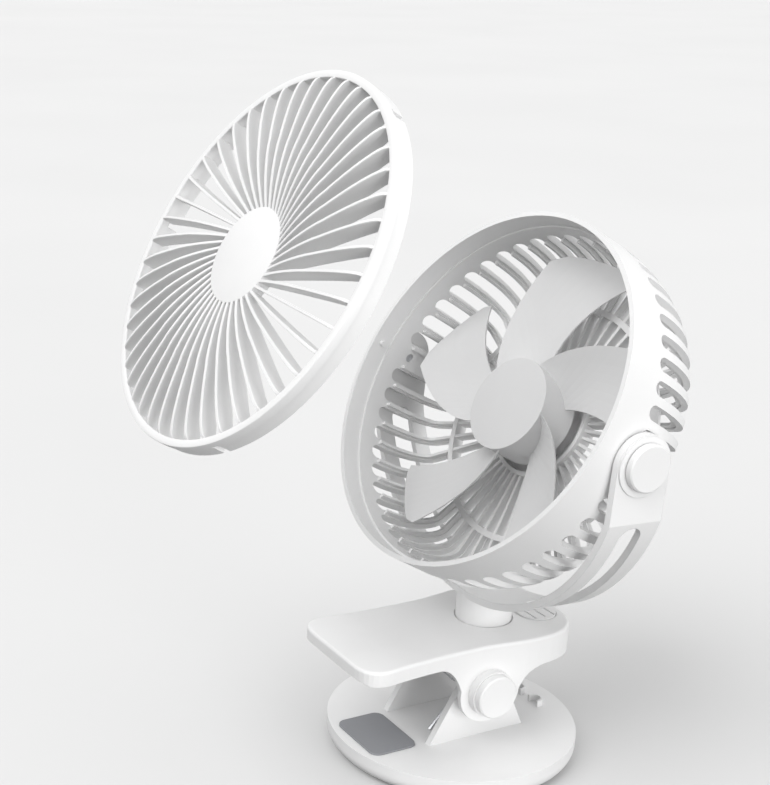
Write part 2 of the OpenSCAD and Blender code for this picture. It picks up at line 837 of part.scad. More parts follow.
module front_grille() {
  color(shell_white)
    at_fan()
      translate([0, 0, rim_front + grille_lift])
        difference() {
          union() {
            translate([0, 0, -grille_flange_t])
              ring(grille_r, ring_in, grille_flange_t);
            translate([0, 0, -grille_ring_h])
              ring(grille_r - skirt_in, grille_r - skirt_in - grille_skirt_t, grille_ring_h);
            for (k = [0 : grille_ribs - 1])
              rotate([0, 0, grille_phase + 360 * k / grille_ribs])
                mirror([0, 1, 0])
                  grille_rib();
            translate([0, 0, -rib_back - disc_drop])
              cylinder(r = grille_disc_r, h = rib_back + disc_drop + disc_rise, $fn = fine);
          }
          translate([0, 0, -rib_back - over])
            cylinder(r = grille_disc_r - disc_wall, h = rib_back + over + disc_rise - disc_wall,
              $fn = fine);
          each_bayonet()
            translate([-grille_r + skirt_in - over, -bayonet_r - bayonet_slack, -grille_ring_h - over])
              cube([bayonet_len + bayonet_slack + over, 2 * (bayonet_r + bayonet_slack),
                grille_ring_h + over - bayonet_depth + bayonet_r + bayonet_slack]);
        }
}

// Yoke

module strap_profile(r_in, y_in, t) {
  difference() {
    intersection() {
      union() {
        circle(r = r_in + t, $fn = 2 * fine);
        translate([-y_in - t, 0])
          square([2 * (y_in + t), strap_w]);
      }
      translate([-y_in - t, -r_in - t - over])
        square([2 * (y_in + t), r_in + t + over + strap_w]);
    }
    intersection() {
      union() {
        circle(r = r_in, $fn = 2 * fine);
        translate([-y_in, 0])
          square([2 * y_in, strap_w + over]);
      }
      translate([-y_in, -r_in - over])
        square([2 * y_in, r_in + strap_w + 2 * over]);
    }
  }
}

// The slot's path round the bow, as a sector between two angles
module sector(from, to, r) {
  polygon(concat([[0, 0]],
    [for (k = [0 : 12]) let (a = from + (to - from) * k / 12) [r * sin(a), -r * cos(a)]]));
}

module arm_slot() {
  low = arm_slot_low;
  high = arm_slot_high - asin(arm_slot_w / 2 / bow_r);
  translate([arm_slot_w / 2, 0, 0])
    rotate([90, 0, -90])
      linear_extrude(height = arm_slot_w)
        mirror([1, 0])
          sector(low, high, bow_out + slot_over + over);
  for (a = [low, high])
    rotate([a, 0, 0])
      translate([0, 0, -bow_out - slot_over])
        cylinder(r = arm_slot_w / 2, h = strap_t + 2 * slot_over, $fn = mid);
}

module yoke() {
  color(shell_white) {
    difference() {
      union() {
        at_strap()
          intersection() {
            translate([strap_w / 2, 0, 0])
              rotate([90, 0, -90])
                linear_extrude(height = strap_w)
                  strap_profile(bow_r, arm_in, strap_t);
            union() {
              translate([0, arm_out + over, 0])
                rotate([90, 0, 0])
                  cylinder(r = strap_w / 2, h = 2 * (arm_out + over), $fn = fine);
              translate([-strap_w / 2, -arm_out - over, -bow_out - over])
                cube([strap_w, 2 * (arm_out + over), bow_out + over]);
            }
          }
        at_strap()
          both_sides()
            translate([0, collar_y, 0])
              rotate([90, 0, 0])
                cylinder(r = collar_r, h = collar_h + strap_t / 2, $fn = fine);
        difference() {
          translate([swivel_x, 0, neck_low])
            cylinder(r = neck_r, h = pivot_z - bow_r - neck_low, $fn = fine);
          at_strap()
            rotate([0, 90, 0])
              cylinder(r = bow_r + strap_t / 2, h = 4 * strap_w, center = true, $fn = 2 * fine);
        }
      }
      at_strap()
        both_sides() {
          arm_slot();
          translate([0, collar_y + over, 0])
            rotate([90, 0, 0])
              cylinder(r = washer_r + seat_gap, h = washer_t + over, $fn = fine);
          translate([0, collar_y + over, 0])
            rotate([90, 0, 0])
              cylinder(r = trunnion_r + run_gap, h = strap_t + collar_h + 2 * over, $fn = mid);
        }
      translate([swivel_x, 0, neck_low - over])
        cylinder(r = swivel_screw_r + hair, h = swivel_screw_len + over, $fn = small);
    }
  }
}

module pivot_cap() {
  at_fan()
    difference() {
      union() {
        translate([0, pivot_cap_y, 0])
          rotate([90, 0, 0])
            rotate_extrude($fn = fine)
              polygon([[0, 0], [pivot_cap_r - cap_lip, 0], [pivot_cap_r, cap_lip],
                [pivot_cap_r, pivot_cap_y - cap_in], [0, pivot_cap_y - cap_in]]);
        translate([0, cap_in + hair, 0])
          rotate([90, 0, 0])
            cylinder(r = trunnion_r - free_gap, h = cap_in - trunnion_y - seat_gap + hair, $fn = mid);
      }
      translate([0, cap_in + cap_screw_deep, 0])
        rotate([90, 0, 0])
          cylinder(r = screw_r + hair, h = cap_screw_deep + cap_in - trunnion_y + over, $fn = small);
    }
}

module pivot_cap_left() {
  color(shell_white)
    pivot_cap();
}

module pivot_cap_right() {
  color(shell_white)
    mirror([0, 1, 0])
      pivot_cap();
}

module pivot_screws() {
  color(steel_grey)
    at_fan()
      both_sides()
        translate([0, rim_r + screw_sink - seat_gap, 0])
          rotate([-90, 0, 0])
            pan_screw(screw_r, cap_in + cap_screw_deep - rim_r - screw_sink - seat_gap,
              screw_head_r, screw_head_h);
}

module pivot_washers() {
  color(steel_grey)
    at_strap()
      both_sides()
        translate([0, washer_y + washer_t - 2 * hair, 0])
          rotate([90, 0, 0])
            ring(washer_r, trunnion_r + free_gap, washer_t - 2 * hair);
}

module swivel_washer() {
  color(steel_grey)
    translate([swivel_x, 0, neck_low - hair - swivel_washer_t])
      ring(swivel_washer_r, swivel_screw_r + seat_gap, swivel_washer_t);
}

module swivel_screw() {
  color(steel_grey)
    translate([swivel_x, 0, neck_low - 2 * hair - swivel_washer_t])
      pan_screw(swivel_screw_r, swivel_screw_len - over, swivel_head_r, swivel_head_h);
}

// Base

module stadium(r, half) {
  translate([-r, -half])
    square([2 * r, 2 * half]);
  for (y = [-half, half])
    translate([0, y])
      circle(r = r, $fn = mid);
}

module each_shell_screw() {
  for (x = shell_screw_xs, y = [-shell_screw_y, shell_screw_y])
    translate([x, y, rear_under])
      children();
}

module each_jaw_screw() {
  for (y = [-shell_screw_y, shell_screw_y])
    translate([jaw_screw_x, y, jaw_under])
      children();
}

module each_base_screw() {
  each_shell_screw()
    children();
  each_jaw_screw()
    children();
}

module base_top_shell() {
  color(shell_white)
    difference() {
      union() {
        difference() {
          intersection() {
            plan_rounded(hinge_z - ear_r - over, plate_h, edge_round);
            along_y(-rear_hw - over, rear_hw + over)
              side_profile();
          }
          plan_prism(base_wall, hinge_z - ear_r - 2 * over, inner_top);
        }
        both_sides()
          translate([hinge_x, ear_boss_y, hinge_z])
            rotate([90, 0, 0])
              cylinder(r = ear_boss_r, h = ear_boss_y - ear_y + base_wall / 2, $fn = fine);
        each_shell_screw()
          translate([0, 0, floor_t + seat_gap])
            cylinder(r = boss_r, h = inner_top - rear_under - floor_t, $fn = small);
        each_jaw_screw()
          translate([0, 0, floor_t + seat_gap])
            cylinder(r = boss_r, h = inner_top - jaw_under - floor_t, $fn = small);
      }
      translate([swivel_x, 0, inner_top - over])
        cylinder(r = neck_r + run_gap, h = base_wall + 2 * over, $fn = fine);
      translate([swivel_x, 0, plate_h - recess_h])
        cylinder(r = neck_r + recess_gap, h = recess_h + over, $fn = fine);
      translate([button_x, 0, inner_top - over])
        linear_extrude(height = base_wall + 2 * over)
          stadium(button_r + free_gap, button_len);
      translate([hinge_x, ear_boss_y + over, hinge_z])
        rotate([90, 0, 0])
          cylinder(r = pin_r + hair, h = 2 * (ear_boss_y + over), $fn = mid);
      translate([rear_end - over, -usb_w / 2 - seat_gap, board_top + hair])
        cube([base_wall + 2 * over, usb_w + 2 * seat_gap, usb_h + seat_gap]);
      each_shell_screw()
        cylinder(r = pilot_r, h = shell_screw_len + over, $fn = small);
      each_jaw_screw()
        cylinder(r = pilot_r, h = jaw_screw_len + over / 2, $fn = small);
    }
}

module base_bottom_shell() {
  color(shell_white)
    difference() {
      union() {
        intersection() {
          plan_prism(fit_in, hinge_z, plate_h);
          along_y(-rear_hw, rear_hw)
            polygon([[rear_end, rear_under], [step_x, rear_under], [step_x + step_run, jaw_under],
              [tip_x, jaw_under], [tip_x, jaw_under + floor_t],
              [step_x + step_run - floor_t, jaw_under + floor_t], [step_x - floor_t, rear_under + floor_t],
              [rear_end, rear_under + floor_t]]);
        }
        for (y = [-board_hw + 2 * post_r, board_hw - 2 * post_r])
          translate([button_x, y, rear_under + floor_t / 2])
            cylinder(r = post_r, h = post_len, $fn = small);
      }
      translate([0, 0, jaw_under - over])
        linear_extrude(height = over + pad_t - pad_proud)
          pad_shape(pad_hl + seat_gap, pad_hl + seat_gap, pad_hw + seat_gap);
      each_base_screw()
        translate([0, 0, -over]) {
          cylinder(r = screw_r + seat_gap, h = floor_t + 2 * over, $fn = small);
          cylinder(r = screw_head_r + seat_gap, h = head_sink + over, $fn = small);
        }
    }
}

module shell_screws() {
  color(steel_grey) {
    each_shell_screw()
      translate([0, 0, head_sink - 2 * hair])
        pan_screw(pilot_r - hair, shell_screw_len - head_sink, screw_head_r, flat_head_h);
    each_jaw_screw()
      translate([0, 0, head_sink - 2 * hair])
        pan_screw(pilot_r - hair, jaw_screw_len - head_sink, screw_head_r, flat_head_h);
  }
}

module power_button() {
  color(shell_white)
    difference() {
      union() {
        translate([button_x, 0, plate_h + button_proud - button_t])
          linear_extrude(height = button_t)
            stadium(button_r, button_len);
        translate([button_x, 0, inner_top - free_gap - tab_t])
          for (a = [0, 180])
            rotate([0, 0, a])
              translate([-tab_w / 2, 0, 0])
                cube([tab_w, button_hl + tab_out, tab_t]);
        translate([button_x, 0, inner_top - free_gap - hair])
          linear_extrude(height = plate_h + button_proud - button_t - inner_top + free_gap + 2 * hair)
            stadium(tab_w / 2, button_len);
        translate([button_x, 0, stem_low])
          cylinder(r = stem_r, h = plate_h - stem_low, $fn = small);
      }
      for (k = [-1 : 1])
        translate([button_x + k * groove_pitch - groove_w / 2, -groove_hl,
          plate_h + button_proud - groove_deep])
          cube([groove_w, 2 * groove_hl, groove_deep + over]);
    }
}

module circuit_board() {
  color("darkgreen")
    translate([board_rear, -board_hw, board_top - board_t])
      cube([board_front - board_rear, 2 * board_hw, board_t]);
}

module tact_switch() {
  color("dimgray")
    translate([button_x, 0, board_top + hair]) {
      translate([-switch_w / 2, -switch_w / 2, 0])
        cube([switch_w, switch_w, switch_h - hair]);
      cylinder(r = plunger_r, h = switch_h + plunger_h - hair, $fn = small);
    }
}

module usb_socket() {
  color(steel_grey)
    translate([rear_end + usb_sink, -usb_w / 2, board_top + 2 * hair]) {
      difference() {
        cube([usb_len, usb_w, usb_h - 2 * hair]);
        translate([-over, usb_wall, usb_wall])
          cube([usb_len - usb_wall + over, usb_w - 2 * usb_wall, usb_h - 2 * hair - 2 * usb_wall]);
      }
      translate([usb_wall, usb_w / 4, (usb_h - usb_tongue_h) / 2])
        cube([usb_len - 2 * usb_wall + hair, usb_w / 2, usb_tongue_h]);
    }
}

module battery_cell() {
  color("lightsteelblue")
    translate([battery_x - battery_len / 2, -battery_hw, rear_under + floor_t + seat_gap])
      cube([battery_len, 2 * battery_hw, battery_t]);
}

module upper_jaw_pad() {
  color(rubber_grey)
    linear_extrude(height = pad_t - hair)
      pad_shape(pad_hl, pad_hl, pad_hw);
}

// Hinge

module hinge_pin() {
  color(steel_grey)
    translate([hinge_x, ear_boss_y + pin_end, hinge_z])
      rotate([90, 0, 0])
        cylinder(r = pin_r, h = 2 * (ear_boss_y + pin_end), $fn = mid);
}

module hinge_cap() {
  difference() {
    translate([hinge_x, hinge_cap_y, hinge_z])
      rotate([90, 0, 0])
        rotate_extrude($fn = fine)
          polygon([[0, 0], [hinge_cap_r - cap_lip, 0], [hinge_cap_r, cap_lip],
            [hinge_cap_r, hinge_cap_y - ear_boss_y - hair], [0, hinge_cap_y - ear_boss_y - hair]]);
    translate([hinge_x, ear_boss_y + pin_end + seat_gap, hinge_z])
      rotate([90, 0, 0])
        cylinder(r = pin_r + hair, h = pin_end + over, $fn = mid);
  }
}

module hinge_cap_left() {
  color(shell_white)
    hinge_cap();
}

module hinge_cap_right() {
  color(shell_white)
    mirror([0, 1, 0])
      hinge_cap();
}

// Clip spring: one tube from the base's floor, round the pin, to the stand's top

wire_r = wire_d / 2;
spring_w = curls * curl_pitch;
upper_leg = [spring_reach, rear_under - free_gap - wire_r - hinge_z];
lower_leg = [spring_reach, stand_top + free_gap + wire_r - hinge_z];

// Angle round the hinge at which a line from point p touches the coil
function touch(p, side) = atan2(p[1], p[0]) + side * acos(coil_r / norm(p));

leg_start = touch(upper_leg, 1);
leg_end = touch(lower_leg, -1) - 360 * curls;
coil_rings = 8 * curls;

function coil_pt(k) =
  let (t = k / coil_rings, a = leg_start + (leg_end - leg_start) * t)
    [coil_r * cos(a), spring_w * (t - 0.5), coil_r * sin(a)];

spring_path = concat([[upper_leg[0], -spring_w / 2, upper_leg[1]]],
  [for (k = [0 : coil_rings]) coil_pt(k)],
  [[lower_leg[0], spring_w / 2, lower_leg[1]]]);

function unit(v) = v / norm(v);

function heading(path, k) =
  let (n = len(path) - 1)
    k == 0 ? unit(path[1] - path[0])
    : k == n ? unit(path[n] - path[n - 1])
    : unit(unit(path[k + 1] - path[k]) + unit(path[k] - path[k - 1]));

module tube(path, r, sides) {
  n = len(path);
  across = [0, 1, 0];
  points = [for (k = [0 : n - 1])
    let (d = heading(path, k), a = unit(cross(d, across)), b = cross(a, d))
      for (j = [0 : sides - 1]) let (q = 360 * j / sides)
        path[k] + r * (cos(q) * a + sin(q) * b)];
  walls = [for (k = [0 : n - 2]) for (j = [0 : sides - 1]) let (i = (j + 1) % sides)
    each [[k * sides + j, (k + 1) * sides + j, k * sides + i],
          [k * sides + i, (k + 1) * sides + j, (k + 1) * sides + i]]];
  polyhedron(points, concat(walls, [[for (j = [0 : sides - 1]) j]],
    [[for (j = [sides - 1 : -1 : 0]) (n - 1) * sides + j]]));
}

// Least gap between one curl and the next, measured on the coil's points
echo(spring_gap = min([for (k = [0 : coil_rings - 8]) norm(coil_pt(k + 8) - coil_pt(k))]) - wire_d);

module torsion_spring() {
  color(steel_grey)
    translate([hinge_x, 0, hinge_z])
      tube(spring_path, wire_r, 6);
}

// Round stand, which is the clip's lower jaw

module stand_shell() {
  rotate_extrude($fn = 2 * fine)
    difference() {
      union() {
        translate([0, -stand_h + stand_round])
          square([stand_r, stand_h - stand_round]);
        translate([0, -stand_h])
          square([stand_r - stand_round, stand_h]);
        intersection() {
          translate([stand_r - stand_round, -stand_h + stand_round])
            circle(r = stand_round, $fn = mid);
          translate([0, -stand_h])
            square([stand_r, stand_round]);
        }
      }
      translate([0, -stand_h - over])
        square([cover_r - stand_wall, stand_h - stand_wall + over]);
      translate([0, -stand_h - over])
        square([cover_r, stand_floor + over]);
    }
}

module bracket() {
  along_y(bracket_y - bracket_t, bracket_y)
    polygon([[hinge_x - gusset_rear, stand_top - stand_wall / 2], [hinge_x - gusset_rear, stand_top],
      [hinge_x + gusset_shoulder[0], hinge_z + gusset_shoulder[1]],
      [hinge_x - eye_r * cos(30), hinge_z + eye_r * sin(30)],
      [hinge_x + eye_r * cos(30), hinge_z + eye_r * sin(30)],
      [hinge_x + gusset_front, stand_top], [hinge_x + gusset_front, stand_top - stand_wall / 2]]);
  translate([hinge_x, ear_in - free_gap, hinge_z])
    rotate([90, 0, 0])
      cylinder(r = eye_r, h = ear_in - free_gap - bracket_y + bracket_t, $fn = mid);
}

module wire_guide() {
  difference() {
    cylinder(r = guide_r, h = guide_h, $fn = mid);
    translate([0, 0, -over])
      cylinder(r = guide_r - guide_t, h = guide_h + 2 * over, $fn = mid);
    translate([guide_t, -guide_r - over, -over])
      cube([guide_r + over, 2 * (guide_r + over), guide_h + 2 * over]);
  }
}

module each_cover_screw() {
  for (k = [0 : 3])
    translate([stand_x, 0, stand_bottom])
      rotate([0, 0, 45 + 90 * k])
        translate([cover_screw_r, 0, 0])
          children();
}

module stand_disc() {
  color(shell_white)
    difference() {
      union() {
        translate([stand_x, 0, stand_top])
          stand_shell();
        both_sides()
          bracket();
        for (y = [-guide_y, guide_y])
          translate([hinge_x - guide_back, y, stand_top - hair])
            wire_guide();
        each_cover_screw()
          translate([0, 0, stand_floor + seat_gap])
            cylinder(r = lug_r, h = stand_h - stand_floor - stand_wall, $fn = small);
      }
      translate([hinge_x, rear_hw, hinge_z])
        rotate([90, 0, 0])
          cylinder(r = pin_r + run_gap, h = 2 * rear_hw, $fn = mid);
      translate([0, 0, stand_top - pad_t + pad_proud])
        linear_extrude(height = pad_t)
          pad_shape(low_pad_front + seat_gap, low_pad_back + seat_gap, low_pad_hw + seat_gap);
      each_cover_screw()
        cylinder(r = pilot_r, h = cover_screw_len + over / 2, $fn = small);
    }
}

module stand_cover() {
  color(shell_white)
    difference() {
      translate([stand_x, 0, stand_bottom])
        cylinder(r = cover_r - seat_gap, h = stand_floor, $fn = 2 * fine);
      translate([stand_x, 0, stand_bottom - over])
        ring(foot_r + seat_gap, foot_r - foot_w - seat_gap, over + foot_t - foot_proud);
      each_cover_screw()
        translate([0, 0, -over]) {
          cylinder(r = screw_r, h = stand_floor + 2 * over, $fn = small);
          cylinder(r = screw_head_r + seat_gap, h = over + head_sink, $fn = small);
        }
    }
}

module cover_screws() {
  color(steel_grey)
    each_cover_screw()
      translate([0, 0, head_sink - 2 * hair])
        pan_screw(pilot_r - hair, cover_screw_len - head_sink, screw_head_r, flat_head_h);
}

module lower_jaw_pad() {
  color(rubber_grey)
    translate([0, 0, stand_top - pad_t + pad_proud + hair])
      linear_extrude(height = pad_t - hair)
        pad_shape(low_pad_front, low_pad_back, low_pad_hw);
}

module foot_pad() {
  color(rubber_grey)
    translate([stand_x, 0, stand_bottom - foot_proud])
      ring(foot_r, foot_r - foot_w, foot_t - hair);
}

head_housing();
motor_can();
motor_end_cap();
motor_bushes();
motor_armature();
motor_shaft();
impeller();
front_grille();
pivot_cap_left();
pivot_cap_right();
pivot_screws();
pivot_washers();
yoke();
swivel_washer();
swivel_screw();
base_top_shell();
base_bottom_shell();
shell_screws();
power_button();
circuit_board();
tact_switch();
usb_socket();
battery_cell();
upper_jaw_pad();
hinge_pin();
hinge_cap_left();
hinge_cap_right();
torsion_spring();
stand_disc();
stand_cover();
cover_screws();
lower_jaw_pad();
foot_pad();
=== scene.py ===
"""Looks of the clip fan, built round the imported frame. Lengths are in metres."""
import json
import math

import bmesh
import bpy
from mathutils import Matrix, Vector


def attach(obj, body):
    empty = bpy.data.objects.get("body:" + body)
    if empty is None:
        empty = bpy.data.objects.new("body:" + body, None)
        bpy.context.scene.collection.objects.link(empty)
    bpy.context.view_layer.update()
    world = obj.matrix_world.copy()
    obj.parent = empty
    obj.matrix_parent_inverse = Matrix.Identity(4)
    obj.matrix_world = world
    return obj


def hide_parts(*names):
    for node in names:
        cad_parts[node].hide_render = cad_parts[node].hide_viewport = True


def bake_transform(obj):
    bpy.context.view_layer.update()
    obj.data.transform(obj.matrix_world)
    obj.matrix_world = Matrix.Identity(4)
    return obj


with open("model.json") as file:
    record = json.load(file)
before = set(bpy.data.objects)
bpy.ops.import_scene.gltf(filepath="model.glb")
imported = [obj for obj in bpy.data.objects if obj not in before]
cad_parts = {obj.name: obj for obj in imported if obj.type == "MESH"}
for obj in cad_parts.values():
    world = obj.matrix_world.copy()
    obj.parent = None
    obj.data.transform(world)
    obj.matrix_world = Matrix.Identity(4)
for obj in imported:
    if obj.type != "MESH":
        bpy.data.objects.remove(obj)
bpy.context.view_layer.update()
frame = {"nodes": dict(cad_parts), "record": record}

NODES = frame["nodes"]
MM = 0.001


def placed(name, data):
    """A new object, linked to the scene."""
    thing = bpy.data.objects.new(name, data)
    bpy.context.scene.collection.objects.link(thing)
    return thing


# Materials

# The part of a noise's range that a spread covers
SPREAD_FROM = 0.3
SPREAD_TO = 0.7
BEVEL_SAMPLES = 6

MOTTLE_SCALE = 28.0
MOTTLE_DARK = 0.975
MOTTLE_LIGHT = 1.02
GRAIN_DEPTH = 0.05 * MM

LINE_SCALE = 900.0
LINE_DARK = 0.86
LINE_STRENGTH = 0.15
LINE_DEPTH = 0.04 * MM

# Noise detail, in octaves
COARSE = 2.0
DETAILED = 4.0


def new_material(name):
    material = bpy.data.materials.new(name)
    material.use_nodes = True
    tree = material.node_tree
    tree.nodes.clear()
    out = tree.nodes.new("ShaderNodeOutputMaterial")
    shader = tree.nodes.new("ShaderNodeBsdfPrincipled")
    tree.links.new(shader.outputs["BSDF"], out.inputs["Surface"])
    return material, tree, shader


def noise(tree, coords, scale, detail):
    node = tree.nodes.new("ShaderNodeTexNoise")
    node.inputs["Scale"].default_value = scale
    node.inputs["Detail"].default_value = detail
    tree.links.new(coords, node.inputs["Vector"])
    return node.outputs["Fac"]


def ramp(tree, value, stops):
    """Two stops of place and tone, with the tone as a grey or a colour."""
    node = tree.nodes.new("ShaderNodeValToRGB")
    for element, (place, tone) in zip(node.color_ramp.elements, stops):
        color = tone if isinstance(tone, tuple) else (tone,) * 3
        element.position = place
        element.color = (*color, 1.0)
    tree.links.new(value, node.inputs["Fac"])
    return node.outputs["Color"]


def spread(tree, value, low, high):
    return ramp(tree, value, [(SPREAD_FROM, low), (SPREAD_TO, high)])


def bump(tree, shader, height, strength, distance, edge=0.0):
    """Fine relief, over edges that look rounded by the radius given."""
    node = tree.nodes.new("ShaderNodeBump")
    if edge:
        rounded = tree.nodes.new("ShaderNodeBevel")
        rounded.samples = BEVEL_SAMPLES
        rounded.inputs["Radius"].default_value = edge
        tree.links.new(rounded.outputs["Normal"], node.inputs["Normal"])
    node.inputs["Strength"].default_value = strength
    node.inputs["Distance"].default_value = distance
    tree.links.new(height, node.inputs["Height"])
    tree.links.new(node.outputs["Normal"], shader.inputs["Normal"])


def object_coords(tree):
    return tree.nodes.new("ShaderNodeTexCoord").outputs["Object"]


def moulded(name, tone, grain=2600.0, rough=(0.42, 0.5), relief=0.12, specular=0.4, edge=0.0):
    """Moulded plastic or rubber: faint mottling, fine spark texture and uneven sheen."""
    material, tree, shader = new_material(name)
    coords = object_coords(tree)
    broad = noise(tree, coords, MOTTLE_SCALE, DETAILED)
    fine = noise(tree, coords, grain, COARSE)
    low = tuple(c * MOTTLE_DARK for c in tone)
    high = tuple(min(1.0, c * MOTTLE_LIGHT) for c in tone)
    tree.links.new(spread(tree, broad, low, high), shader.inputs["Base Color"])
    tree.links.new(spread(tree, fine, *rough), shader.inputs["Roughness"])
    shader.inputs["Specular IOR Level"].default_value = specular
    bump(tree, shader, fine, relief, GRAIN_DEPTH, edge)
    return material


def metal(name, tone, stretch, rough=(0.22, 0.38)):
    """Drawn or turned metal with fine lines along one way."""
    material, tree, shader = new_material(name)
    mapping = tree.nodes.new("ShaderNodeMapping")
    mapping.inputs["Scale"].default_value = stretch
    tree.links.new(object_coords(tree), mapping.inputs["Vector"])
    lines = noise(tree, mapping.outputs["Vector"], LINE_SCALE, DETAILED)
    low = tuple(c * LINE_DARK for c in tone)
    tree.links.new(spread(tree, lines, low, tone), shader.inputs["Base Color"])
    tree.links.new(spread(tree, lines, *rough), shader.inputs["Roughness"])
    shader.inputs["Metallic"].default_value = 1.0
    bump(tree, shader, lines, LINE_STRENGTH, LINE_DEPTH)
    return material


WHITE = (0.77, 0.77, 0.77)
EDGE = 0.35 * MM
LOOKS = {
    "shell": moulded("shell_white", WHITE, edge=EDGE),
    # The impeller's plastic is the white darkened: painted shade for where it sits inside the
    # head
    "inner_plastic": moulded("inner_plastic", (0.67, 0.67, 0.672), rough=(0.46, 0.55)),
    "steel": metal("plated_steel", (0.62, 0.63, 0.65), stretch=(1.0, 1.0, 0.15)),
    "bronze": metal("bush_bronze", (0.55, 0.38, 0.19), stretch=(1.0, 1.0, 0.3),
                    rough=(0.35, 0.5)),
    "board": moulded("board_mask", (0.02, 0.13, 0.055), grain=1800.0, rough=(0.22, 0.34),
                     relief=0.05, specular=0.5),
    "switch_plastic": moulded("switch_plastic", (0.02, 0.02, 0.021), grain=2200.0,
                              rough=(0.4, 0.5)),
    "cell_foil": metal("cell_foil", (0.6, 0.64, 0.7), stretch=(0.2, 1.0, 1.0),
                       rough=(0.3, 0.42)),
    "pad_rubber": moulded("pad_rubber", (0.26, 0.265, 0.28), grain=1500.0, rough=(0.7, 0.82),
                          relief=0.3, specular=0.25),
}

# The slotted housing and the ribbed grille are too thin for rounded edges
thin_white = moulded("thin_white", WHITE)
# The grille's white is a lighter copy of the shell's plastic: painted light, so the grille
# reads brighter than the rest
grille_white_painted_light = moulded("grille_white_painted_light", (0.8, 0.8, 0.8))
THIN_NODE = "head_housing"

for part in frame["record"]["subparts"]:
    look = thin_white if part["node"] == THIN_NODE else LOOKS[part["material_slot"]]
    mesh = NODES[part["node"]].data
    mesh.materials.clear()
    mesh.materials.append(look)


# Front grille: its ribs swirl and arch as photographed, which the solid's do not

# The fan's axis, from the head's pivot to the grille's face at rest
TILT = math.radians(30.5)
PIVOT = Vector((-60.0, 0.0, 102.4)) * MM
AXIS = Vector((math.cos(TILT), 0.0, math.sin(TILT)))
HEAD_UP = Vector((-math.sin(TILT), 0.0, math.cos(TILT)))
ACROSS = Vector((0.0, 1.0, 0.0))
GRILLE_FACE = 145.8 * MM

# Ring: flange, skirt and the roundings of its front edges
RING_OUT = 75.6 * MM
RING_IN = 72.5 * MM
RING_DEEP = 8.6 * MM
RING_STEPS = 180
FLANGE = 3.5 * MM
SKIRT_OUT = 75.3 * MM
SKIRT_IN = 73.7 * MM
ROUND = 0.5 * MM
ROUND_MIDDLE = 0.15 * MM
INNER_ROUND = 0.4 * MM
INNER_ROUND_MIDDLE = 0.12 * MM

# Bayonet notches: NOTCH_HALF is in radians, NOTCH_CLEAR a share of the ring's step
NOTCH_ANGLES = (30.0, 150.0, 270.0)
NOTCH_HALF = 1.7 * MM / RING_OUT
NOTCH_IN = 73.1 * MM
NOTCH_TOP = -2.9 * MM
NOTCH_CLEAR = 0.1
NOTCHED_SIDES = {None: (False,), "open": (False, True), "close": (True, False)}

# Disc, a shallow cap with a wall behind its edge
DISC = 19.4 * MM
DISC_RISE = 1.0 * MM
DISC_STEPS = 120
DISC_FLAT_INSET = 0.8 * MM
DISC_ROUND_INSET = 0.25 * MM
DISC_ROUND_DROP = 0.2 * MM
DISC_EDGE_DROP = 0.7 * MM
DISC_WALL = 1.6 * MM
DISC_WALL_BACK = -4.2 * MM
DISC_UNDERSIDE = -0.6 * MM

# Ribs: heights count from the ring's face, and the crest is their dome's highest place
RIBS = 46
RIB_TURN = math.radians(4.52)
RIB_T = 1.2 * MM
RIB_STEPS = 30
SWIRL = 8.3 * MM
CREST = 4.1 * MM
CREST_AT = 44.0 * MM
RIB_AT_DISC = 0.9 * MM
RIB_SINK = 0.15 * MM
RIB_BACK = -3.5 * MM
RIB_BACK_FALL = 2.0 * MM
RIB_BACK_POWER = 5
RIB_BACK_HALF = 0.4 * MM
RIB_ROUND_DEEP = 0.3 * MM
RIB_ROUND_INSET = 0.15 * MM
INTO_DISC = 1.0 * MM
INTO_RING = 0.7 * MM

MERGE = 0.002 * MM
SHARP = math.radians(28)


def fan_point(radius, angle, height):
    """A place on the fan, with the angle from the head's top towards +Y."""
    level = PIVOT + AXIS * (GRILLE_FACE + height)
    return level + HEAD_UP * (radius * math.cos(angle)) + ACROSS * (radius * math.sin(angle))


def band(here, there, count):
    """Faces between two closed outlines that start at the vertices here and there."""
    following = [(k + 1) % count for k in range(count)]
    return [(here + k, here + n, there + n, there + k) for k, n in enumerate(following)]


def turned(profiles, angles):
    """Vertices and faces of a closed outline carried round the fan's axis."""
    count = len(profiles[0])
    points = [fan_point(r, a, z) for outline, a in zip(profiles, angles) for r, z in outline]
    faces = []
    for i in range(len(angles)):
        faces += band(i * count, (i + 1) % len(angles) * count, count)
    return points, faces


def ring_outline(notched):
    """The ring's flange and skirt, or what a bayonet notch leaves of them."""
    front = [(RING_OUT, -ROUND), (RING_OUT - ROUND_MIDDLE, -ROUND_MIDDLE),
             (RING_OUT - ROUND, 0.0), (RING_IN + ROUND, 0.0),
             (RING_IN + ROUND_MIDDLE, -INNER_ROUND_MIDDLE), (RING_IN, -INNER_ROUND),
             (RING_IN, -FLANGE)]
    if notched:
        return front + [(NOTCH_IN, -FLANGE), (NOTCH_IN, NOTCH_TOP), (SKIRT_IN, NOTCH_TOP),
                        (SKIRT_OUT, NOTCH_TOP), (RING_OUT, NOTCH_TOP)]
    return front + [(SKIRT_IN, -FLANGE), (SKIRT_IN, -RING_DEEP), (SKIRT_OUT, -RING_DEEP),
                    (SKIRT_OUT, -FLANGE), (RING_OUT, -FLANGE)]


